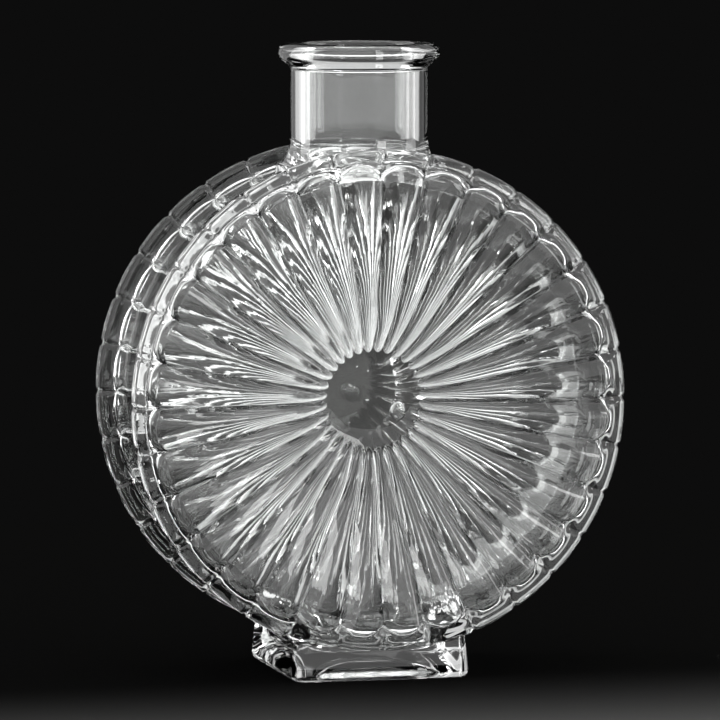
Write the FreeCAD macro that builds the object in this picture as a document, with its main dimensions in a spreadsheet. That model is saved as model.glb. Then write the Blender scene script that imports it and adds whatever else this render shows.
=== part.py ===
import FreeCAD, Part
import Sketcher
import math
import os
import re

# Flat round glass bottle: a drum with two dished, fluted faces, a band between them, a neck and a foot.
# Millimetres. +Z is up, the front face looks along -Y, and the origin is under the foot at its centre.

SIZES = {
    # The whole bottle, and how high the drum's rim hangs above the underside of the foot
    "total_height": 170,
    "centre_height": 75,
    "rim_clearance": 7.2,
    # Drum: the crests of the flutes reach rim_radius across and body_depth from face to face
    "rim_radius": 67.8,
    "body_depth": 57,
    "rim_bevel_height": 5.7,
    "rim_bevel_depth": 4,
    "rim_edge_width": 2,
    "rim_notch": 0.6,
    "band_radius": 62.7,
    "band_width": 38,
    "band_wall": 4.2,
    # Faces: a plain disc at the bottom of a dish of radial flutes
    "disc_radius": 12.8,
    "disc_recess": 12.5,
    "face_wall": 4.2,
    "flute_count": 32,
    "flute_depth": 2,
    "valley_width": 6.6,
    # Neck and lip
    "neck_radius": 18.5,
    "neck_wall": 3.6,
    "neck_flare_width": 3.5,
    "neck_flare_height": 4,
    "lip_radius": 21.9,
    "lip_height": 6.3,
    "lip_edge_height": 1.5,
    "lip_bevel": 1.9,
    "mouth_bevel": 1,
    # Foot: a hollow block, open into the drum, with a shallow hollow underneath
    "foot_width": 49,
    "foot_depth": 54,
    "foot_corner_radius": 4,
    "foot_bevel": 1.8,
    "foot_floor": 6,
    "foot_wall": 4.5,
    "well_inset": 1.5,
    "underside_margin": 6,
    "underside_rise": 2,
}
# Steps of the flutes' long curve, how hollow it is, and how deep and how wide at the sides a flute may be for
# its half width
DISH_STEPS = 5
DISH_CURVE = 1.4
BEVEL_STEPS = 2
DEPTH_SHARE = 0.85
SHOULDER_SHARE = 0.65
# Points looked at along an edge, and how far off they may lie
EDGE_SAMPLES = 6
EDGE_TOLERANCE = 0.01

UP = FreeCAD.Vector(0, 0, 1)
THROUGH = FreeCAD.Vector(0, 1, 0)

doc = FreeCAD.newDocument("flat_round_bottle")
sheet = doc.addObject("Spreadsheet::Sheet", "Sizes")
for row, (alias, number) in enumerate(SIZES.items(), start=1):
    sheet.set(f"A{row}", alias.replace("_", " "))
    sheet.set(f"B{row}", str(number))
    sheet.setAlias(f"B{row}", alias)
doc.recompute()


def on_sheet(expression):
    """The expression with each size's name pointed at the sheet."""
    return re.sub(r"[a-z_]+", lambda word: f"Sizes.{word[0]}" if word[0] in SIZES else word[0], expression)


def value(expression):
    return float(sheet.evalExpression(on_sheet(expression)))


def bind(item, path, expression):
    item.setExpression(path, on_sheet(expression))


# Sketches

def sketch_on(body, name, role, lift=None):
    """A sketch on one of the body's own planes, raised by an expression if one is given."""
    sketch = body.newObject("Sketcher::SketchObject", name)
    plane = next(item for item in body.Origin.OriginFeatures if item.Role == role)
    sketch.AttachmentSupport = [(plane, "")]
    sketch.MapMode = "FlatFace"
    if lift:
        bind(sketch, "AttachmentOffset.Base.z", lift)
    return sketch


def dimension(sketch, kind, *place, expression):
    """A dimension that follows the sheet."""
    index = sketch.addConstraint(Sketcher.Constraint(kind, *place, value(expression)))
    bind(sketch, f"Constraints[{index}]", expression)


def place_point(sketch, leg, end, across, up):
    """Ties one end of a leg to the sketch's axes."""
    for kind, axis, expression in (("DistanceX", -2, across), ("DistanceY", -1, up)):
        if expression == "0":
            sketch.addConstraint(Sketcher.Constraint("PointOnObject", leg, end, axis))
        else:
            dimension(sketch, kind, -1, 1, leg, end, expression=expression)


def circle(body, name, role, radius, up="0", lift=None):
    sketch = sketch_on(body, name, role, lift)
    centre = FreeCAD.Vector(0, value(up), 0)
    sketch.addGeometry(Part.Circle(centre, UP, value(radius)), False)
    dimension(sketch, "Radius", 0, expression=radius)
    place_point(sketch, 0, 3, "0", up)
    return sketch


def arc_leg(start, end, radius):
    """The counterclockwise arc from start to end, about a centre on the left of its chord."""
    chord = end - start
    left = FreeCAD.Vector(-chord.y, chord.x, 0).normalize()
    rise = math.sqrt(max(radius ** 2 - (chord.Length / 2) ** 2, 0))
    centre = (start + end) / 2 + left * rise
    angles = [math.atan2(point.y - centre.y, point.x - centre.x) for point in (start, end)]
    return Part.ArcOfCircle(Part.Circle(centre, UP, radius), *angles)


def outline(body, name, role, corners, lift=None):
    """A closed outline through corners (across, up). A corner with a radius too starts an arc."""
    sketch = sketch_on(body, name, role, lift)
    points = [FreeCAD.Vector(value(corner[0]), value(corner[1]), 0) for corner in corners]
    for leg, (corner, start, end) in enumerate(zip(corners, points, points[1:] + points[:1])):
        if len(corner) == 2:
            sketch.addGeometry(Part.LineSegment(start, end), False)
        else:
            sketch.addGeometry(arc_leg(start, end, value(corner[2])), False)
            dimension(sketch, "Radius", leg, expression=corner[2])
    for leg, corner in enumerate(corners):
        before = (leg - 1) % len(corners)
        sketch.addConstraint(Sketcher.Constraint("Coincident", before, 2, leg, 1))
        place_point(sketch, leg, 1, corner[0], corner[1])
    return sketch


def rounded_rectangle(body, name, half_width, half_depth, radius, lift=None):
    """A rectangle about the origin with rounded corners, counterclockwise from the right side."""
    inner_x, inner_y = f"({half_width} - {radius})", f"({half_depth} - {radius})"
    return outline(body, name, "XY_Plane", [
        (half_width, f"-{inner_y}"),
        (half_width, inner_y, radius),
        (inner_x, half_depth),
        (f"-{inner_x}", half_depth, radius),
        (f"-({half_width})", inner_y),
        (f"-({half_width})", f"-{inner_y}", radius),
        (f"-{inner_x}", f"-({half_depth})"),
        (inner_x, f"-({half_depth})", radius),
    ], lift)


# Features

def pad(body, name, sketch, length, symmetric=False):
    feature = body.newObject("PartDesign::Pad", name)
    feature.Profile = sketch
    feature.SideType = "Symmetric" if symmetric else "One side"
    bind(feature, "Length", length)
    doc.recompute()
    return feature


def must_cut(feature):
    """Stops the build if a cut has missed its solid."""
    doc.recompute()
    if feature.Shape.Volume >= feature.BaseFeature.Shape.Volume:
        raise ValueError(f"{feature.Name} cuts nothing")
    return feature


def pocket(body, name, sketch, symmetric=False, upwards=False, depth=None):
    """A cut both ways, upwards or downwards from its sketch, through everything unless it has a depth."""
    feature = body.newObject("PartDesign::Pocket", name)
    feature.Profile = sketch
    feature.Type = "Length" if depth else "ThroughAll"
    feature.SideType = "Symmetric" if symmetric else "One side"
    feature.Reversed = upwards
    if depth:
        bind(feature, "Length", depth)
    return must_cut(feature)


def revolve(body, name, sketch):
    """A full turn about the sketch's upright axis."""
    feature = body.newObject("PartDesign::Revolution", name)
    feature.Profile = sketch
    feature.ReferenceAxis = (sketch, ["V_Axis"])
    feature.Angle = 360
    doc.recompute()
    return feature


def bevel_edges(body, name, base, width, chosen):
    """Bevels those edges of base on which every point passes the test chosen."""
    edges = [
        f"Edge{number}"
        for number, edge in enumerate(base.Shape.Edges, start=1)
        if all(chosen(point) for point in edge.discretize(EDGE_SAMPLES))
    ]
    feature = body.newObject("PartDesign::Chamfer", name)
    feature.Base = (base, edges)
    bind(feature, "Size", width)
    doc.recompute()
    return feature


def new_body(name):
    return doc.addObject("PartDesign::Body", name)


def band_circle(body, name):
    """The outside of the smooth band, seen from the front."""
    return circle(body, name, "XZ_Plane", "band_radius", up="centre_height")


BORE = "(neck_radius - neck_wall)"
NECK_TOP = "(total_height - lip_height)"
FOOT_BASE = "(centre_height - rim_radius - rim_clearance)"


# Fluted faces

def unit(across, forward):
    length = math.hypot(across, forward)
    return across / length, forward / length


def moved(point, direction, distance):
    return point[0] + direction[0] * distance, point[1] + direction[1] * distance


def dish_stations():
    """(crest, inward direction, depth) along the dish, from the disc to the arris, as (radius, forward)."""
    half_pitch = math.pi / value("flute_count")
    arris = value("rim_radius - rim_bevel_height")
    reach = arris - value("disc_radius")
    recess = value("disc_recess")
    bottom = value("body_depth / 2") - recess
    for step in range(DISH_STEPS + 1):
        turn = math.radians(90 * step / DISH_STEPS)
        crest = (arris - reach * math.cos(turn), bottom + recess * math.sin(turn) ** DISH_CURVE)
        rise = recess * DISH_CURVE * math.sin(turn) ** (DISH_CURVE - 1) * math.cos(turn)
        inward = unit(rise, -reach * math.sin(turn)) if step else (1, 0)
        depth = min(value("flute_depth"), DEPTH_SHARE * crest[0] * math.sin(half_pitch))
        yield crest, inward, depth


def bevel_stations():
    """The same over the rounded bevel, from below the arris to the rim's outer edge."""
    arris = value("rim_radius - rim_bevel_height")
    height, drop = value("rim_bevel_height"), value("rim_bevel_depth")
    face, notch = value("flute_depth"), value("rim_notch")
    for step in range(1, BEVEL_STEPS + 1):
        turn = math.radians(90 * step / BEVEL_STEPS)
        crest = (arris + height * math.sin(turn), value("body_depth / 2") - drop * (1 - math.cos(turn)))
        inward = unit(-drop * math.sin(turn), -height * math.cos(turn))
        yield crest, inward, face + (notch - face) * math.sin(turn)


def flute_stations():
    """(crest, valley) pairs of one flute from the disc, over the face and the rim, to the band."""
    pairs = []
    for crest, inward, depth in [*dish_stations(), *bevel_stations()]:
        pairs.append((crest, moved(crest, inward, depth)))
    edge = value("body_depth / 2 - rim_bevel_depth - rim_edge_width")
    pairs.append(((value("rim_radius"), edge), (value("rim_radius - rim_notch"), edge)))
    root = (value("band_radius"), value("band_width / 2"))
    pairs.append((root, root))
    return pairs


def flute_facets(rows):
    """Flat facets between the rows of points across one flute: a flat top and two triangles a side."""
    for row, following in zip(rows, rows[1:]):
        valley, shoulder, far_shoulder, far_valley = row
        next_valley, next_shoulder, next_far_shoulder, next_far_valley = following
        yield valley, shoulder, next_shoulder
        yield valley, next_shoulder, next_valley
        yield shoulder, far_shoulder, next_far_shoulder, next_shoulder
        yield far_shoulder, far_valley, next_far_shoulder
        yield far_valley, next_far_valley, next_far_shoulder


def closed(points):
    return Part.makePolygon([*points, points[0]])


def front_wall_shape():
    """The front face as one closed shell: flutes outside, a plain skin inside, a flat joint to the band."""
    centre = FreeCAD.Vector(0, 0, value("centre_height"))
    count = int(value("flute_count"))
    pitch = 2 * math.pi / count

    def at(point, angle):
        return centre + FreeCAD.Vector(point[0] * math.sin(angle), -point[1], point[0] * math.cos(angle))

    def rows_of(number):
        """The points across one flute at each station: valley, shoulder, shoulder, valley."""
        start, end = number * pitch, (number + 1) * pitch
        for crest, valley in flute_stations():
            side = min(value("valley_width / 2") / crest[0], SHOULDER_SHARE * pitch / 2)
            yield at(valley, start), at(crest, start + side), at(crest, end - side), at(valley, end)

    flutes = [list(rows_of(number)) for number in range(count)]
    faces = [Part.Face(closed(corners)) for rows in flutes for corners in flute_facets(rows)]

    def ring(station):
        return closed([point for rows in flutes for point in rows[station][:-1]])

    inner_radius = value("band_radius - band_wall")
    joint = centre - THROUGH * value("band_width / 2")
    joint_edge = Part.Wire(Part.makeCircle(inner_radius, joint, THROUGH))
    joint_face = Part.makeFace([ring(-1), joint_edge], "Part::FaceMakerBullseye")

    behind_disc = value("body_depth / 2 - disc_recess - face_wall")
    inside = [(0, behind_disc), (value("disc_radius + face_wall"), behind_disc)]
    for crest, inward, _ in list(dish_stations())[2:-1:2]:
        inside.append(moved(crest, inward, value("flute_depth + face_wall")))
    inside.append((inner_radius, value("band_width / 2")))
    skin = Part.makePolygon([at(point, 0) for point in inside]).revolve(centre, THROUGH, 360)

    shell = Part.makeShell([*faces, Part.Face(ring(0)), *joint_face.Faces, *skin.Faces])
    shell.sewShape()
    solid = Part.makeSolid(shell)
    if solid.Volume < 0:
        solid.reverse()
    return solid


def make_walls():
    front = doc.addObject("Part::Feature", "front_wall")
    front.Shape = front_wall_shape()
    back = doc.addObject("Part::Mirroring", "back_wall")
    back.Source = front
    back.Normal = THROUGH
    both = doc.addObject("Part::Compound", "both_walls")
    both.Links = [front, back]
    doc.recompute()
    return front, back, both


def clear_of(name, base, tool):
    """The base with what the tool fills taken away."""
    cut = doc.addObject("Part::Cut", name)
    cut.Base = base
    cut.Tool = tool
    doc.recompute()
    return cut


# Smooth band between the faces, open to the neck above and the foot below

def foot_well(body, name, lift):
    """The outline of the hollow that joins the foot to the drum."""
    half_width, half_depth = "(foot_width / 2 - foot_wall)", "(band_width / 2 - well_inset)"
    return rounded_rectangle(body, name, half_width, half_depth, "foot_corner_radius", lift)


def make_band():
    body = new_body("side_band")
    inner, outer, half = "(band_radius - band_wall)", "band_radius", "band_width / 2"
    section = outline(body, "band_section", "XY_Plane", [
        (inner, f"-{half}"),
        (outer, f"-{half}"),
        (outer, half),
        (inner, half),
    ], lift="centre_height")
    revolve(body, "band_ring", section)
    bore = circle(body, "band_bore_circle", "XY_Plane", BORE, lift="centre_height")
    pocket(body, "band_bore", bore, upwards=True)
    pocket(body, "band_well", foot_well(body, "band_well_outline", lift="centre_height"))
    return body


# Neck, flared where it meets the band, and lip

def make_neck(walls):
    """A tube whose lower end widens from above the band's top to as far below it."""
    body = new_body("neck_column")
    band_top = "centre_height + band_radius"
    section = outline(body, "neck_section", "XZ_Plane", [
        (BORE, "centre_height"),
        ("neck_radius + neck_flare_width", "centre_height"),
        ("neck_radius + neck_flare_width", f"{band_top} - neck_flare_height"),
        ("neck_radius", f"{band_top} + neck_flare_height"),
        ("neck_radius", NECK_TOP),
        (BORE, NECK_TOP),
    ])
    revolve(body, "neck_tube", section)
    pocket(body, "neck_saddle", band_circle(body, "neck_saddle_circle"), symmetric=True)
    return clear_of("neck", body, walls)


def make_lip():
    body = new_body("lip_ring")
    section = outline(body, "lip_section", "XZ_Plane", [
        (BORE, NECK_TOP),
        ("neck_radius", NECK_TOP),
        ("lip_radius", "total_height - lip_bevel - lip_edge_height"),
        ("lip_radius", "total_height - lip_bevel"),
        ("lip_radius - lip_bevel", "total_height"),
        (f"{BORE} + mouth_bevel", "total_height"),
        (BORE, "total_height - mouth_bevel"),
    ])
    revolve(body, "lip_bead", section)
    return body


# Foot

def make_foot(walls):
    """A block from below the drum's rim to its centre, cut to the drum and hollowed from above and below."""
    body = new_body("foot_block")
    half_width, half_depth, corner = "foot_width / 2", "foot_depth / 2", "foot_corner_radius"
    base = rounded_rectangle(body, "foot_outline", half_width, half_depth, corner, lift=FOOT_BASE)
    block = pad(body, "foot_outside", base, f"centre_height - {FOOT_BASE}")
    ground = value(FOOT_BASE)
    bevel_edges(body, "foot_edges", block, "foot_bevel", lambda point: abs(point.z - ground) < EDGE_TOLERANCE)
    pocket(body, "foot_saddle", band_circle(body, "foot_saddle_circle"), symmetric=True)
    well = foot_well(body, "foot_well_outline", lift=f"{FOOT_BASE} + foot_floor")
    pocket(body, "foot_well", well, upwards=True)
    half_width, half_depth = f"({half_width} - underside_margin)", f"({half_depth} - underside_margin)"
    hollow = rounded_rectangle(body, "underside_outline", half_width, half_depth, corner, lift=FOOT_BASE)
    pocket(body, "underside", hollow, upwards=True, depth="underside_rise")
    return clear_of("foot", body, walls)


def write_parts(nodes):
    """Writes each node to its own file once every object has built soundly."""
    doc.recompute()
    failed = [item.Name for item in doc.Objects if {"Invalid", "Error"} & set(item.State)]
    failed += [node.Name for node in nodes if node.Shape.isNull() or not node.Shape.isValid()]
    if failed:
        raise ValueError(f"not built: {failed}")
    os.makedirs("parts", exist_ok=True)
    for node in nodes:
        node.Shape.exportStep(f"parts/{node.Label}.step")
        box = node.Shape.BoundBox
        print(node.Label, len(node.Shape.Solids), "solid", round(node.Shape.Volume / 1000, 2), "cm3",
              [round(low, 2) for low in (box.XMin, box.YMin, box.ZMin)],
              [round(high, 2) for high in (box.XMax, box.YMax, box.ZMax)])


front_wall, back_wall, both_walls = make_walls()
write_parts([
    front_wall,
    back_wall,
    make_band(),
    make_neck(both_walls),
    make_lip(),
    make_foot(both_walls),
])
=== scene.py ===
import math
from typing import NamedTuple

import bmesh
import bpy
import numpy as np
from mathutils import Matrix, Vector


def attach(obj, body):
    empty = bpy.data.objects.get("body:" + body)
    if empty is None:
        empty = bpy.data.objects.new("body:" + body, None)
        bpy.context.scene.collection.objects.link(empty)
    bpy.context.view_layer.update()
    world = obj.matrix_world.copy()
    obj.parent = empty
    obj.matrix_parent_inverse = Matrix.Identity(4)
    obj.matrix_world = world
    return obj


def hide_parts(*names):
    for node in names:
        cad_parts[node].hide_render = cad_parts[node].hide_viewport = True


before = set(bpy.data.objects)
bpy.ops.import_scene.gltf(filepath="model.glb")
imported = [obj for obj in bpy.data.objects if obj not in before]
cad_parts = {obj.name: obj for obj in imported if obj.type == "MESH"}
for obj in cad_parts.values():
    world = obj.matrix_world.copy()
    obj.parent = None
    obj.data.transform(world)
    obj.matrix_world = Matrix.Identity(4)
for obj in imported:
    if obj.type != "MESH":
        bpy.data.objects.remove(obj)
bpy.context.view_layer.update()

METRES = 0.001

# Sizes of the glass in millimetres, as in the solids
TOTAL_HEIGHT = 170
CENTRE_HEIGHT = 75
RIM_RADIUS = 67.8
BODY_DEPTH = 57
RIM_BEVEL_HEIGHT = 5.7
RIM_BEVEL_DEPTH = 4
RIM_EDGE_WIDTH = 2
BAND_RADIUS = 62.7
BAND_WIDTH = 38
BAND_WALL = 4.2
DISC_RADIUS = 12.8
DISC_RECESS = 12.5
FLUTES = 32
FLUTE_DEPTH = 2
NECK_RADIUS = 18.5
NECK_WALL = 3.6
LIP_RADIUS = 21.9
FOOT_WIDTH = 49
FOOT_DEPTH = 54
FOOT_CORNER = 4

# Sizes that follow from them, where forward is the distance from the drum's middle plane
PITCH = 2 * math.pi / FLUTES
FACE_FORWARD = BODY_DEPTH / 2
DISC_FORWARD = FACE_FORWARD - DISC_RECESS
ARRIS_RADIUS = RIM_RADIUS - RIM_BEVEL_HEIGHT
BEVEL_FORWARD = FACE_FORWARD - RIM_BEVEL_DEPTH
EDGE_FORWARD = BEVEL_FORWARD - RIM_EDGE_WIDTH
BAND_HALF = BAND_WIDTH / 2
BORE_RADIUS = NECK_RADIUS - NECK_WALL


# Meshes from rings of points

def smooth_step(x):
    x = np.clip(x, 0, 1)
    return 0.5 - 0.5 * np.cos(math.pi * x)


def mix(first, second, share):
    return first + (second - first) * share


def grown(value, start, reach):
    """0 up to the start, rising softly to 1 over the reach after it."""
    return smooth_step((value - start) / reach)


def arc(centre, radii, start, end, steps):
    """Points of an elliptic arc, between two angles in degrees."""
    angles = np.radians(np.linspace(start, end, steps))
    return [(centre[0] + radii[0] * math.cos(a), centre[1] + radii[1] * math.sin(a)) for a in angles]


def add_piece(name, data):
    """A new object of the scene, from a mesh, a camera or a lamp."""
    piece = bpy.data.objects.new(name, data)
    bpy.context.collection.objects.link(piece)
    return piece


def loft(name, rings):
    """A closed mesh through rings of points, with a fan of triangles at either end."""
    count = len(rings[0])
    points = [rings[0].mean(axis=0)[None], *rings, rings[-1].mean(axis=0)[None]]
    mesh = bpy.data.meshes.new(name)
    faces = []
    last = 1 + len(rings) * count
    for i in range(count):
        j = (i + 1) % count
        faces.append((0, 1 + j, 1 + i))
        faces.append((last, last - count + i, last - count + j))
        for row in range(len(rings) - 1):
            base = 1 + row * count
            faces.append((base + i, base + j, base + count + j, base + count + i))
    mesh.from_pydata(np.concatenate(points) * METRES, [], faces)
    outward = bmesh.new()
    outward.from_mesh(mesh)
    bmesh.ops.recalc_face_normals(outward, faces=outward.faces)
    outward.to_mesh(mesh)
    outward.free()
    return add_piece(name, mesh)


def lathe_upright(name, profile, columns):
    """A solid turned about the upright axis, through (radius, height) points."""
    angles = np.linspace(0, 2 * math.pi, columns, endpoint=False)
    rings = []
    for radius, height in profile:
        heights = np.full(columns, height)
        rings.append(np.stack([radius * np.cos(angles), radius * np.sin(angles), heights], 1))
    return loft(name, rings)


def rounded_rectangle(half_x, half_y, corner, height, steps=8):
    points = []
    for turn, (sx, sy) in zip((0, 90, 180, 270), ((1, 1), (-1, 1), (-1, -1), (1, -1))):
        centre = (sx * (half_x - corner), sy * (half_y - corner))
        points += arc(centre, (corner, corner), turn, turn + 90, steps)
    return np.array([(x, y, height) for x, y in points])


def drum_ring(radius, forward, turn):
    """Points round the drum's axis, with one radius and forward for all of them or one for each."""
    radius = np.broadcast_to(radius, turn.shape)
    forward = np.broadcast_to(forward, turn.shape)
    return np.stack([radius * np.sin(turn), -forward, CENTRE_HEIGHT + radius * np.cos(turn)], 1)


# Sections of the flutes

class Flute(NamedTuple):
    """Depth of the valley, width of each side and of half the valley's floor, and crown of the top."""
    depth: float
    side: float
    floor: float
    crown: float


ARRIS_FLUTE = Flute(depth=1.7, side=4, floor=0.3, crown=0.16)
BEND_FLUTE = Flute(depth=0.35, side=1.4, floor=0.8, crown=0.02)
ROUNDING_FLUTE = Flute(depth=0.35, side=0.6, floor=0.5, crown=0.015)
EDGE_FLUTE = Flute(depth=0.45, side=0.6, floor=0.5, crown=0.01)

# Width of a side on the face, and the share of half a flute that a side may take
FACE_SIDE = 4.8
SIDE_LIMIT = 0.95

# Tips of the flutes at the disc
TIP_LENGTH = 2.4
TIP_ROUNDNESS = 0.98

# Points across each flute, and how much they crowd toward the valleys
FLUTE_COLUMNS = 28
VALLEY_CROWDING = 1.3


def flute_columns():
    """Angles round the face, and where each lies across its flute: 0 on the crest, 1 in the valley."""
    spread = np.linspace(-1, 1, FLUTE_COLUMNS, endpoint=False)
    across = np.sign(spread) * (1 - (1 - np.abs(spread)) ** VALLEY_CROWDING)
    numbers = np.arange(FLUTES)[:, None]
    angles = (numbers + 0.5 + across[None, :] / 2) * PITCH
    return angles.ravel(), np.tile(np.abs(across), FLUTES)


def flute_drop(across, radius, flute):
    """How far the surface lies under the crest line: lobes that fall ever more steeply to sharp valleys."""
    half = radius * math.sin(PITCH / 2)
    from_valley = (1 - across) * half
    down = 1 - (from_valley - flute.floor) / min(flute.side, SIDE_LIMIT * half - flute.floor)
    return flute.depth * np.clip(down, 0, 1) ** 2 + flute.crown * half * across ** 2


def tip_bow(across):
    """The round end of a flute at the disc: 0 on the crest, growing to the valley."""
    return 1 - np.sqrt(1 - (TIP_ROUNDNESS * across) ** 2)


# Rows of a face

class Row(NamedTuple):
    """A ring's crest line, the direction into the glass, the flutes' section, and how far the valleys are
    pulled in, or out where the pull is negative."""
    radius: float
    forward: float
    inward: Vector
    flute: Flute
    pull: float


# Curve of the dish, and the steps up it in degrees
DISH_CURVE = 1.4
DISH_TURNS = (2, 4, *np.linspace(6, 88, 58), 88.8, 89.4, 89.8)

# Most that a valley may take of half a flute's width, and of the height above the disc
NARROW_DEPTH_SHARE = 0.62
RECESS_DEPTH_SHARE = 0.8

# Where the flutes start to change toward the rim, where their tops crown, and how soon the tips die away
RIM_BLEND_RADIUS = 46
CROWN_START = 20
CROWN_REACH = 25
TIP_FADE = 6

# Bevel of the rim: its slope, its flat part, where that bends over, and how soon the flutes change on it
BEVEL_SLOPE = math.radians(26)
BEVEL_FLAT = 2.9
BEND_RADIUS = ARRIS_RADIUS + BEVEL_FLAT * math.cos(BEVEL_SLOPE)
BEND_FORWARD = FACE_FORWARD - BEVEL_FLAT * math.sin(BEVEL_SLOPE)
BEVEL_CHANGE = 1.6

# Flank of the rim: insets and drops of its soft edge, and the fillet at its foot
EDGE_EASING = ((0, 0), (0.2, 0.5), (0.8, 0.7), (2, 0.8))
FLANK_FILLET = 2
FILLET_RISE = 0.6


def dish_rows():
    """From the disc up the dish to the arris."""
    reach = ARRIS_RADIUS - DISC_RADIUS
    rows = []
    for turn in np.radians(DISH_TURNS):
        radius = ARRIS_RADIUS - reach * math.cos(turn)
        forward = DISC_FORWARD + DISC_RECESS * math.sin(turn) ** DISH_CURVE
        rise = DISC_RECESS * DISH_CURVE * math.sin(turn) ** (DISH_CURVE - 1) * math.cos(turn)
        inward = Vector((rise, -reach * math.sin(turn))).normalized()
        near_rim = grown(radius, RIM_BLEND_RADIUS, ARRIS_RADIUS - RIM_BLEND_RADIUS)
        depth = min(FLUTE_DEPTH, NARROW_DEPTH_SHARE * radius * math.sin(PITCH / 2))
        depth = mix(depth, ARRIS_FLUTE.depth, near_rim)
        depth = min(depth, RECESS_DEPTH_SHARE * (forward - DISC_FORWARD))
        side = mix(FACE_SIDE, ARRIS_FLUTE.side, near_rim)
        crown = ARRIS_FLUTE.crown * grown(radius, CROWN_START, CROWN_REACH)
        flute = Flute(depth, side, ARRIS_FLUTE.floor * near_rim, crown)
        pull = near_rim - TIP_LENGTH * math.cos(turn) ** TIP_FADE
        rows.append(Row(radius, forward, inward, flute, pull))
    return rows


def bevel_rows():
    """From the arris over the bevel and its rounding to the outer edge of the rim."""
    rows = []
    inward = Vector((-math.sin(BEVEL_SLOPE), -math.cos(BEVEL_SLOPE)))
    for share in (0.02, 0.06, 0.15, 0.35, 0.65, 1):
        change = smooth_step(share * BEVEL_CHANGE)
        flute = Flute(*(mix(first, second, change) for first, second in zip(ARRIS_FLUTE, BEND_FLUTE)))
        radius = mix(ARRIS_RADIUS, BEND_RADIUS, share)
        forward = mix(FACE_FORWARD, BEND_FORWARD, share)
        rows.append(Row(radius, forward, inward, flute, 1 - share))
    for turn in np.radians(np.linspace(0, 90, 9)[1:]):
        radius = mix(BEND_RADIUS, RIM_RADIUS, math.sin(turn))
        forward = mix(BEND_FORWARD, BEVEL_FORWARD, 1 - math.cos(turn))
        lean = max(turn, BEVEL_SLOPE)
        depth = mix(ROUNDING_FLUTE.depth, EDGE_FLUTE.depth, math.sin(turn))
        inward = Vector((-math.sin(lean), -math.cos(lean)))
        rows.append(Row(radius, forward, inward, ROUNDING_FLUTE._replace(depth=depth), 0))
    rows.append(Row(RIM_RADIUS, (BEVEL_FORWARD + EDGE_FORWARD) / 2, Vector((-1, 0)), EDGE_FLUTE, 0))
    return rows


def flank_rows():
    """From the outer edge down the rim's flank and its fillet to the band, where the notches die away."""
    line = [(RIM_RADIUS - inset, EDGE_FORWARD - drop) for inset, drop in EDGE_EASING]
    fillet_centre = (BAND_RADIUS + FLANK_FILLET, BAND_HALF + FILLET_RISE)
    line += arc(fillet_centre, (FLANK_FILLET, FLANK_FILLET), 90, 180, 6)
    line += [(BAND_RADIUS, BAND_HALF)]
    rows = []
    for number, (radius, forward) in enumerate(line):
        turned = min(number / 2, 1)
        depth = EDGE_FLUTE.depth * (1 - number / (len(line) - 1))
        inward = Vector((turned - 1, turned)).normalized()
        rows.append(Row(radius, forward, inward, EDGE_FLUTE._replace(depth=depth, crown=0), 0))
    return rows


# Fluted drum, where no two flutes are quite alike

FRONT_SEED = 3
BACK_SEED = 8

# Sideways waves of the crest and valley lines, and how far out from the disc they reach full size
DRIFT_SIZE = 0.1
DRIFT_LENGTHS = (3.5, 7)
DRIFT_STARTS = (0, 6.3)
DRIFT_SETTLE = 8

# Shares of a flute's depth, and of its bulge at the arris
DEPTH_SPREAD = (0.8, 1.15)
BULGE_SPREAD = (0.7, 1.5)


def drum_face(angles, across, seed):
    """Rings of one face from the disc to the band, where each crest and valley line drifts by itself."""
    chance = np.random.default_rng(seed)
    lines = 2 * FLUTES
    drift_sizes = chance.normal(0, DRIFT_SIZE, lines)
    drift_lengths = chance.uniform(*DRIFT_LENGTHS, lines)
    drift_starts = chance.uniform(*DRIFT_STARTS, lines)
    uneven = chance.uniform(*DEPTH_SPREAD, FLUTES)
    bulge = chance.uniform(*BULGE_SPREAD, FLUTES)
    number = np.minimum((angles / PITCH).astype(int), FLUTES - 1)
    place = angles / PITCH * 2
    disc_edge = DISC_RADIUS + TIP_LENGTH * tip_bow(across)
    rings = [drum_ring(share * disc_edge, DISC_FORWARD, angles) for share in (0.3, 0.6, 0.85, 0.97, 1)]
    for radius, forward, inward, flute, pull in dish_rows() + bevel_rows() + flank_rows():
        drift = drift_sizes * np.sin(radius / drift_lengths + drift_starts)
        drift = drift * grown(radius, DISC_RADIUS, DRIFT_SETTLE)
        turn = angles + np.interp(place, np.arange(lines + 1), [*drift, drift[0]]) / radius
        drop = flute_drop(across, radius, flute) * uneven[number]
        bow = tip_bow(across) if pull < 0 else bulge[number] * across ** 2
        rings.append(drum_ring(radius - pull * bow + inward.x * drop, forward + inward.y * drop, turn))
    return rings


def drum_solid():
    angles, across = flute_columns()
    front = drum_face(angles, across, FRONT_SEED)
    back = [ring * np.array((1, -1, 1)) for ring in reversed(drum_face(angles, across, BACK_SEED))]
    places = np.linspace(BAND_HALF, -BAND_HALF, 9)[1:-1]
    band = [drum_ring(BAND_RADIUS, forward, angles) for forward in places]
    return loft("drum", front + band + back)


# Inside of the drum, as (radius, forward) points from behind the disc round the corner to the band

HOLLOW_DISH = (
    (4, 11.8), (10, 11.8), (14, 12), (17, 12.8), (20, 14.2), (24, 16), (30, 18.2), (38, 20.4), (46, 22),
    (52, 23.1), (58, 23.8),
)
HOLLOW_CORNER = (62.3, 23.1)
HOLLOW_ROUNDING = 0.7
HOLLOW_SIDE = ((62.2, 21.6), (60.6, 18.6), (59.4, 16), (58.7, 13))
HOLLOW_STRAIGHT = (10, 6)
HOLLOW_FLUTE_DEPTH = 1.3

# Where the inside starts to follow the flutes, and over how much
FOLLOW_RADIUS = (36, 20)
FOLLOW_FORWARD = (12, 8)
FOLLOW_OUTLINE = (54, 6)


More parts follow.
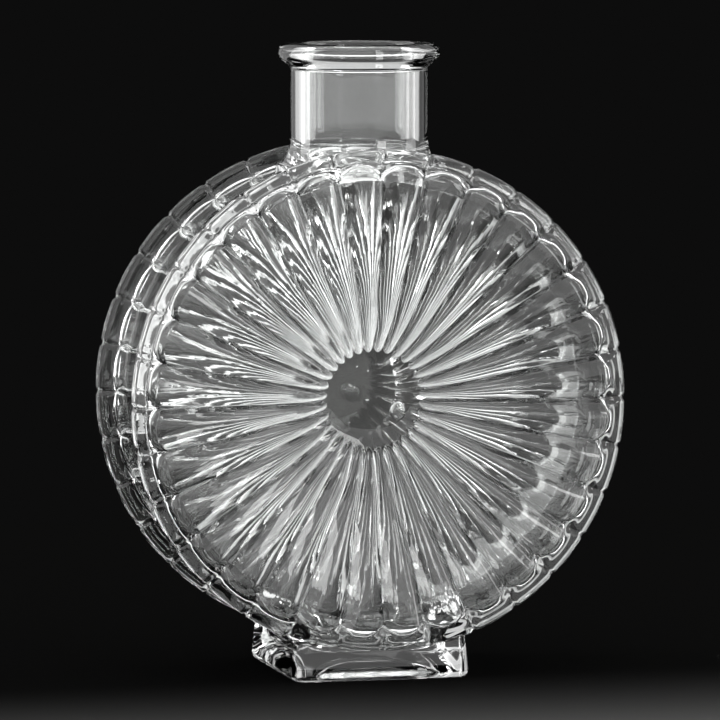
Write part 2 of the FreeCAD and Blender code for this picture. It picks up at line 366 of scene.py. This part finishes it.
def drum_hollow():
    """The inside of the drum: smooth behind the disc, and following the flutes a little near the rim."""
    angles, across = flute_columns()
    half = [*HOLLOW_DISH, *arc(HOLLOW_CORNER, (HOLLOW_ROUNDING, HOLLOW_ROUNDING), 90, -30, 7), *HOLLOW_SIDE]
    half += [(BAND_RADIUS - BAND_WALL, forward) for forward in HOLLOW_STRAIGHT]
    rings = []
    for radius, forward in half + [(radius, -forward) for radius, forward in reversed(half)]:
        follow = grown(radius, *FOLLOW_RADIUS) * grown(abs(forward), *FOLLOW_FORWARD)
        shrink = follow * HOLLOW_FLUTE_DEPTH * across ** 3
        outer = radius - shrink * grown(radius, *FOLLOW_OUTLINE)
        rings.append(drum_ring(outer, forward - np.sign(forward) * shrink, angles))
    return loft("drum_hollow", rings)


# Neck and foot, with heights above the table

# Neck: its root inside the drum, its flare, the heights of its rings, the cove under the lip, and the lip
NECK_ROOT = ((10, 112), (22, 118), (22.6, 126), (22.6, 137.4))
FLARE_RADII = (4.2, 8)
FLARE_TOP = 145.4
NECK_STEPS = (148, 152, 156, 160)
COVE_RADIUS = 2
COVE_HEIGHT = 162.6
LIP_BEAD = 2.5
LIP_INNER = 12

# Bore: its root inside the drum, its lowest ring, the rounding at the mouth, and its end in the open air
BORE_ROOT = ((10, 118), (BORE_RADIUS, 122))
BORE_START = 126
MOUTH_ROUNDING = 1.2
BORE_END = ((BORE_RADIUS + 1.1, TOTAL_HEIGHT + 4), (8, TOTAL_HEIGHT + 4))

# Inset and height of the foot's rings: the domed underside, the border that it stands on, and the sides
UNDERSIDE_RINGS = ((20, 3.6), (16, 3.4), (12, 2.8), (9, 2.0), (7, 1.2), (5.6, 0.4), (4.6, 0), (2.2, 0))
SIDE_RINGS = (
    (1.3, 0.15), (0.6, 0.5), (0.15, 1.1), (0, 2), (0.1, 4), (0.45, 7), (0.8, 10), (1, 14), (1, 20), (3, 30),
)
SMALLEST_CORNER = 1.5

# Size, corner and height of the well's rings: shares of its half sizes, and corners as shares of the depth's
WELL_HALF = (19.5, 17.5)
WELL_RINGS = (
    (0.3, 0.6, 6), (0.6, 0.5, 6.05), (0.78, 0.45, 6.4), (0.86, 0.4, 7.1), (0.92, 0.36, 8.1),
    (0.96, 0.32, 9.6), (0.985, 0.28, 11.5), (1, 0.25, 14), (1, 0.25, 20), (1, 0.2, 30),
)


def neck_solid():
    profile = [*NECK_ROOT]
    profile += arc((NECK_RADIUS + FLARE_RADII[0], FLARE_TOP), FLARE_RADII, 265, 180, 12)
    profile += [(NECK_RADIUS, height) for height in NECK_STEPS]
    profile += arc((NECK_RADIUS + COVE_RADIUS, COVE_HEIGHT), (COVE_RADIUS, COVE_RADIUS), 180, 112, 8)
    profile += arc((LIP_RADIUS - LIP_BEAD, TOTAL_HEIGHT - LIP_BEAD), (LIP_BEAD, LIP_BEAD), -68, 90, 18)
    profile += [(LIP_INNER, TOTAL_HEIGHT)]
    return lathe_upright("neck", profile, 160)


def bore_hollow():
    mouth = TOTAL_HEIGHT - MOUTH_ROUNDING
    profile = [*BORE_ROOT]
    profile += [(BORE_RADIUS, height) for height in np.linspace(BORE_START, mouth, 16)]
    profile += arc((BORE_RADIUS + MOUTH_ROUNDING, mouth), (MOUTH_ROUNDING, MOUTH_ROUNDING), 180, 100, 5)
    profile += BORE_END
    return lathe_upright("bore_hollow", profile, 144)


def foot_solid():
    """The rectangular foot: hollow below, with soft edges and sides that lean in a little."""
    rings = []
    for inset, height in UNDERSIDE_RINGS + SIDE_RINGS:
        corner = max(FOOT_CORNER - inset, SMALLEST_CORNER)
        rings.append(rounded_rectangle(FOOT_WIDTH / 2 - inset, FOOT_DEPTH / 2 - inset, corner, height))
    return loft("foot", rings)


def well_hollow():
    """The inside of the foot: steep walls and a round bottom, open into the drum."""
    rings = []
    for size, corner, height in WELL_RINGS:
        half_x = WELL_HALF[0] * size
        half_y = WELL_HALF[1] * size
        rings.append(rounded_rectangle(half_x, half_y, corner * half_y, height, 14))
    return loft("well_hollow", rings)


# Bubbles in the front disc, each with its centre and half sizes

SEEDS = (
    ((7.2, -14, 71.5), (2.2, 0.8, 2.6)),
    ((-1.2, -14, 74.5), (0.5, 0.4, 0.5)),
    ((-4, -13.6, 83.6), (0.3, 0.3, 0.3)),
    ((-0.9, -13.4, 82.4), (0.25, 0.25, 0.25)),
    ((-7.4, -14, 77.6), (0.25, 0.25, 0.3)),
    ((-6.3, -14.2, 68.6), (0.35, 0.3, 0.35)),
    ((1.3, -13.5, 75.3), (0.2, 0.2, 0.2)),
)


def seed_hollows():
    """The bubbles as small closed voids."""
    voids = bmesh.new()
    for place, size in SEEDS:
        shape = Matrix.LocRotScale(Vector(place) * METRES, None, Vector(size) * METRES)
        bmesh.ops.create_uvsphere(voids, u_segments=32, v_segments=16, radius=1, matrix=shape)
    mesh = bpy.data.meshes.new("seeds")
    voids.to_mesh(mesh)
    voids.free()
    return add_piece("seeds", mesh)


# The bottle as one closed mesh

SHARP_ANGLE = math.radians(40)


def combine(base, tool, operation):
    """Base joined with the tool or cut by it, as one closed mesh."""
    step = base.modifiers.new("combine", "BOOLEAN")
    step.operation = operation
    step.solver = "MANIFOLD"
    step.object = tool
    graph = bpy.context.evaluated_depsgraph_get()
    mesh = bpy.data.meshes.new_from_object(base.evaluated_get(graph))
    base.modifiers.clear()
    base.data = mesh
    bpy.data.objects.remove(tool)


def glass_bottle():
    bottle = drum_solid()
    for tool in (neck_solid(), foot_solid()):
        combine(bottle, tool, "UNION")
    for tool in (drum_hollow(), bore_hollow(), well_hollow(), seed_hollows()):
        combine(bottle, tool, "DIFFERENCE")
    bottle.name = "glass_bottle"
    bottle.data.shade_smooth()
    bottle.data.set_sharp_from_angle(angle=SHARP_ANGLE)
    return bottle


# Materials

class NodeGraph:
    """Short ways to add shader nodes to a material or a world."""

    def __init__(self, owner):
        owner.use_nodes = True
        self.nodes = owner.node_tree.nodes
        self.links = owner.node_tree.links

    def join(self, value, socket):
        """Set a socket to a value, or link it where the value comes from another node."""
        if isinstance(value, bpy.types.NodeSocket):
            self.links.new(value, socket)
        else:
            socket.default_value = value

    def place(self, coordinates):
        return self.nodes.new("ShaderNodeTexCoord").outputs[coordinates]

    def split(self, vector):
        node = self.nodes.new("ShaderNodeSeparateXYZ")
        self.join(vector, node.inputs[0])
        return node.outputs

    def math(self, operation, first, second=0):
        node = self.nodes.new("ShaderNodeMath")
        node.operation = operation
        self.join(first, node.inputs[0])
        self.join(second, node.inputs[1])
        return node.outputs["Value"]

    def product(self, first, *others):
        for other in others:
            first = self.math("MULTIPLY", first, other)
        return first

    def vector(self, operation, *values):
        node = self.nodes.new("ShaderNodeVectorMath")
        node.operation = operation
        for socket, value in zip(node.inputs, values):
            self.join(value, socket)
        return node.outputs

    def noise(self, vector, scale, detail=1, distortion=0):
        node = self.nodes.new("ShaderNodeTexNoise")
        self.join(vector, node.inputs["Vector"])
        node.inputs["Scale"].default_value = scale
        node.inputs["Detail"].default_value = detail
        node.inputs["Distortion"].default_value = distortion
        return node.outputs["Fac"]

    def ramp(self, value, low, high, start=0, end=1):
        node = self.nodes.new("ShaderNodeMapRange")
        node.interpolation_type = "SMOOTHSTEP"
        self.join(value, node.inputs["Value"])
        node.inputs["From Min"].default_value = low
        node.inputs["From Max"].default_value = high
        node.inputs["To Min"].default_value = start
        node.inputs["To Max"].default_value = end
        return node.outputs["Result"]

    def mixed_colour(self, share, first, second):
        node = self.nodes.new("ShaderNodeMix")
        node.data_type = "RGBA"
        self.join(share, node.inputs["Factor"])
        self.join(first, node.inputs["A"])
        self.join(second, node.inputs["B"])
        return node.outputs["Result"]


# Unevenness of the old glass: heights in millimetres, other sizes in metres, and noise in waves to the metre
RIPPLE_HEIGHT = 0.003
RIPPLE_LENGTH = 0.001
RIPPLE_WANDER = 9
RIPPLE_NOISE = 260
PIT_HEIGHT = 0.0015
PIT_NOISE = 1100
PATCH_NOISE = 90
PATCH_EDGE = (0.5, 0.6)
WRINKLE_HEIGHT = 0.0035
WRINKLE_NOISE = 190
WRINKLE_TWIST = 1.2
NECK_SHARE = 2
PANEL_START = (0.030, 0.040)
PANEL_END = (0.0585, 0.062)
VALLEY_EDGE = (0.0012, 0.002)
DISC_EDGE = (0.0135, 0.018)
NECK_START = (0.0675, 0.075)
FRONT_FADE = (-0.012, -0.004)


def glass_height(graph):
    """Faint relief of the front: ripples along the flutes, patches of pits, and chill wrinkles."""
    place = graph.place("Object")
    from_centre = graph.vector("SUBTRACT", place, (0, 0, CENTRE_HEIGHT * METRES))[0]
    from_axis = graph.vector("MULTIPLY", from_centre, (1, 0, 1))[0]
    radius = graph.vector("LENGTH", from_axis)["Value"]
    sides = graph.split(from_axis)
    turn = graph.math("DIVIDE", graph.math("ARCTAN2", sides["X"], sides["Z"]), PITCH)
    from_valley = graph.product(graph.math("PINGPONG", turn, 0.5), PITCH, radius)

    past_disc = graph.ramp(radius, *PANEL_START)
    past_valley = graph.ramp(from_valley, *VALLEY_EDGE)
    before_rim = graph.math("SUBTRACT", 1, graph.ramp(radius, *PANEL_END))
    panel = graph.product(past_disc, past_valley, before_rim)
    phase = graph.product(from_valley, 2 * math.pi / RIPPLE_LENGTH)
    phase = graph.math("ADD", phase, graph.product(graph.noise(place, RIPPLE_NOISE), RIPPLE_WANDER))
    ripples = graph.product(graph.math("SINE", phase), RIPPLE_HEIGHT, panel)
    patches = graph.ramp(graph.noise(place, PATCH_NOISE), *PATCH_EDGE)
    pits = graph.product(graph.noise(place, PIT_NOISE, detail=0), PIT_HEIGHT, patches, panel)
    on_neck = graph.product(graph.ramp(radius, *NECK_START), NECK_SHARE)
    wrinkled = graph.math("ADD", graph.ramp(radius, *DISC_EDGE), on_neck)
    folds = graph.noise(place, WRINKLE_NOISE, distortion=WRINKLE_TWIST)
    wrinkles = graph.product(folds, WRINKLE_HEIGHT, wrinkled)
    height = graph.math("ADD", graph.math("ADD", wrinkles, ripples), pits)
    front = graph.math("SUBTRACT", 1, graph.ramp(graph.split(place)["Y"], *FRONT_FADE))
    return graph.product(height, front)


def glass_material():
    material = bpy.data.materials.new("clear_glass")
    graph = NodeGraph(material)
    shader = graph.nodes["Principled BSDF"]
    shader.inputs["Base Color"].default_value = (0.97, 0.98, 0.975, 1)
    shader.inputs["Transmission Weight"].default_value = 1
    shader.inputs["IOR"].default_value = 1.52
    shader.inputs["Roughness"].default_value = 0.0
    bump = graph.nodes.new("ShaderNodeBump")
    bump.inputs["Strength"].default_value = 1
    bump.inputs["Distance"].default_value = METRES
    graph.join(glass_height(graph), bump.inputs["Height"])
    graph.join(bump.outputs["Normal"], shader.inputs["Normal"])
    return material


bottle = glass_bottle()
bottle.data.materials.clear()
bottle.data.materials.append(glass_material())
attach(bottle, "root")
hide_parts("front_wall", "back_wall", "side_band", "neck", "lip_ring", "foot")


# Camera at the photograph's view

AZIMUTH = math.radians(-13.8)
ELEVATION = math.radians(5.3)
DISTANCE = 1.8
TARGET = Vector((0.0003, 0, 0.0841))
PIXELS_PER_METRE = 3690
IMAGE_WIDTH = 720
SENSOR_WIDTH = 36
back = Vector((
    math.sin(AZIMUTH) * math.cos(ELEVATION),
    -math.cos(AZIMUTH) * math.cos(ELEVATION),
    math.sin(ELEVATION),
))
camera = add_piece("camera", bpy.data.cameras.new("camera"))
camera.location = TARGET + back * DISTANCE
camera.rotation_mode = "QUATERNION"
camera.rotation_quaternion = (-back).to_track_quat("-Z", "Y")
camera.data.sensor_width = SENSOR_WIDTH
camera.data.lens = SENSOR_WIDTH * PIXELS_PER_METRE * DISTANCE / IMAGE_WIDTH
bpy.context.scene.camera = camera


# Floor with painted light: painted shade, near black, under and behind the bottle, fading to a painted pool
# of light that reaches the floor's pale colour toward the front

FLOOR_HALF = 1.2
FLOOR_FRONT = -1.4
# Painted light along the floor's forward axis: where the painted shade starts, where the painted pool of
# light is full pale, the share of the pale colour that the painted shade keeps, the pale colour, and the
# black of the painted shade
FLOOR_BACK = 0.35
PAINTED_SHADE_FROM = -0.015
PAINTED_LIGHT_FROM = -0.55
PAINTED_SHADE_SHARE = 0.0055
FLOOR_COLOUR = (0.42, 0.42, 0.412, 1)
PAINTED_SHADE_COLOUR = (0, 0, 0, 1)


def painted_light_floor_material():
    material = bpy.data.materials.new("floor_with_painted_light")
    graph = NodeGraph(material)
    shader = graph.nodes["Principled BSDF"]
    shader.inputs["Roughness"].default_value = 0.9
    shader.inputs["Specular IOR Level"].default_value = 0
    forward = graph.split(graph.place("Object"))["Y"]
    # Painted light: the colour runs from painted shade behind the bottle to the pale colour, a painted pool
    # of light, toward the front
    painted_light_share = graph.ramp(forward, PAINTED_SHADE_FROM, PAINTED_LIGHT_FROM, PAINTED_SHADE_SHARE, 1)
    graph.join(graph.mixed_colour(painted_light_share, PAINTED_SHADE_COLOUR, FLOOR_COLOUR), shader.inputs["Base Color"])
    return material


floor_mesh = bpy.data.meshes.new("floor")
floor_mesh.from_pydata([
    (-FLOOR_HALF, FLOOR_FRONT, 0),
    (FLOOR_HALF, FLOOR_FRONT, 0),
    (FLOOR_HALF, FLOOR_BACK, 0),
    (-FLOOR_HALF, FLOOR_BACK, 0),
], [], [(0, 1, 2, 3)])
floor_mesh.materials.append(painted_light_floor_material())
floor = add_piece("floor", floor_mesh)


# Soft boxes: name, place, width, height and power

MIDDLE = Vector((0, 0, 0.08))
SOFT_BOXES = (
    ("left_light", (-0.86, 0.4, 0.4), 0.4, 0.9, 4),
    ("right_light", (0.9, -0.1, 0.4), 0.4, 0.9, 3.5),
    ("top_light", (0, 0.1, 1.1), 1.0, 1.0, 2),
    ("front_light", (0.66, -1.42, 0.42), 0.4, 0.4, 3.5),
)


def soft_box(name, place, width, height, power):
    lamp = bpy.data.lights.new(name, "AREA")
    lamp.shape = "RECTANGLE"
    lamp.size = width
    lamp.size_y = height
    lamp.energy = power
    holder = add_piece(name, lamp)
    holder.location = place
    holder.rotation_mode = "QUATERNION"
    holder.rotation_quaternion = (MIDDLE - Vector(place)).to_track_quat("-Z", "Y")
    holder.visible_camera = False


for row in SOFT_BOXES:
    soft_box(*row)


# Surroundings: their brightness from the camera's side, at 0, to the middle of the dark backdrop, at 1

BACKDROP = 0.004
BACKDROP_TURN = math.radians(-8)
SURROUNDINGS = (
    (0, 1.7), (0.3, 1.7), (0.5, 1.3), (0.75, 1.2), (0.87, 0.6), (0.925, 0.6),
    (0.95, BACKDROP), (1, BACKDROP),
)


def grey(tone):
    return (tone, tone, tone, 1)


def studio_world():
    """Soft light all round, a dark backdrop behind the bottle, and a dark background for the camera."""
    world = bpy.data.worlds.new("studio")
    graph = NodeGraph(world)
    backdrop = Matrix.Rotation(BACKDROP_TURN, 3, "Z") @ -back
    toward = graph.vector("DOT_PRODUCT", graph.place("Generated"), backdrop)["Value"]
    share = graph.nodes.new("ShaderNodeMapRange")
    share.inputs["From Min"].default_value = -1
    share.inputs["From Max"].default_value = 1
    graph.join(toward, share.inputs["Value"])
    ramp = graph.nodes.new("ShaderNodeValToRGB")
    stops = ramp.color_ramp.elements
    while len(stops) < len(SURROUNDINGS):
        stops.new(0.5)
    for stop, (position, tone) in zip(stops, SURROUNDINGS):
        stop.position = position
        stop.color = grey(tone)
    graph.join(share.outputs["Result"], ramp.inputs["Fac"])
    seen = graph.nodes.new("ShaderNodeLightPath").outputs["Is Camera Ray"]
    light = graph.mixed_colour(seen, ramp.outputs["Color"], grey(BACKDROP))
    graph.join(light, graph.nodes["Background"].inputs["Color"])
    bpy.context.scene.world = world


studio_world()
bpy.context.scene.view_settings.view_transform = "Standard"
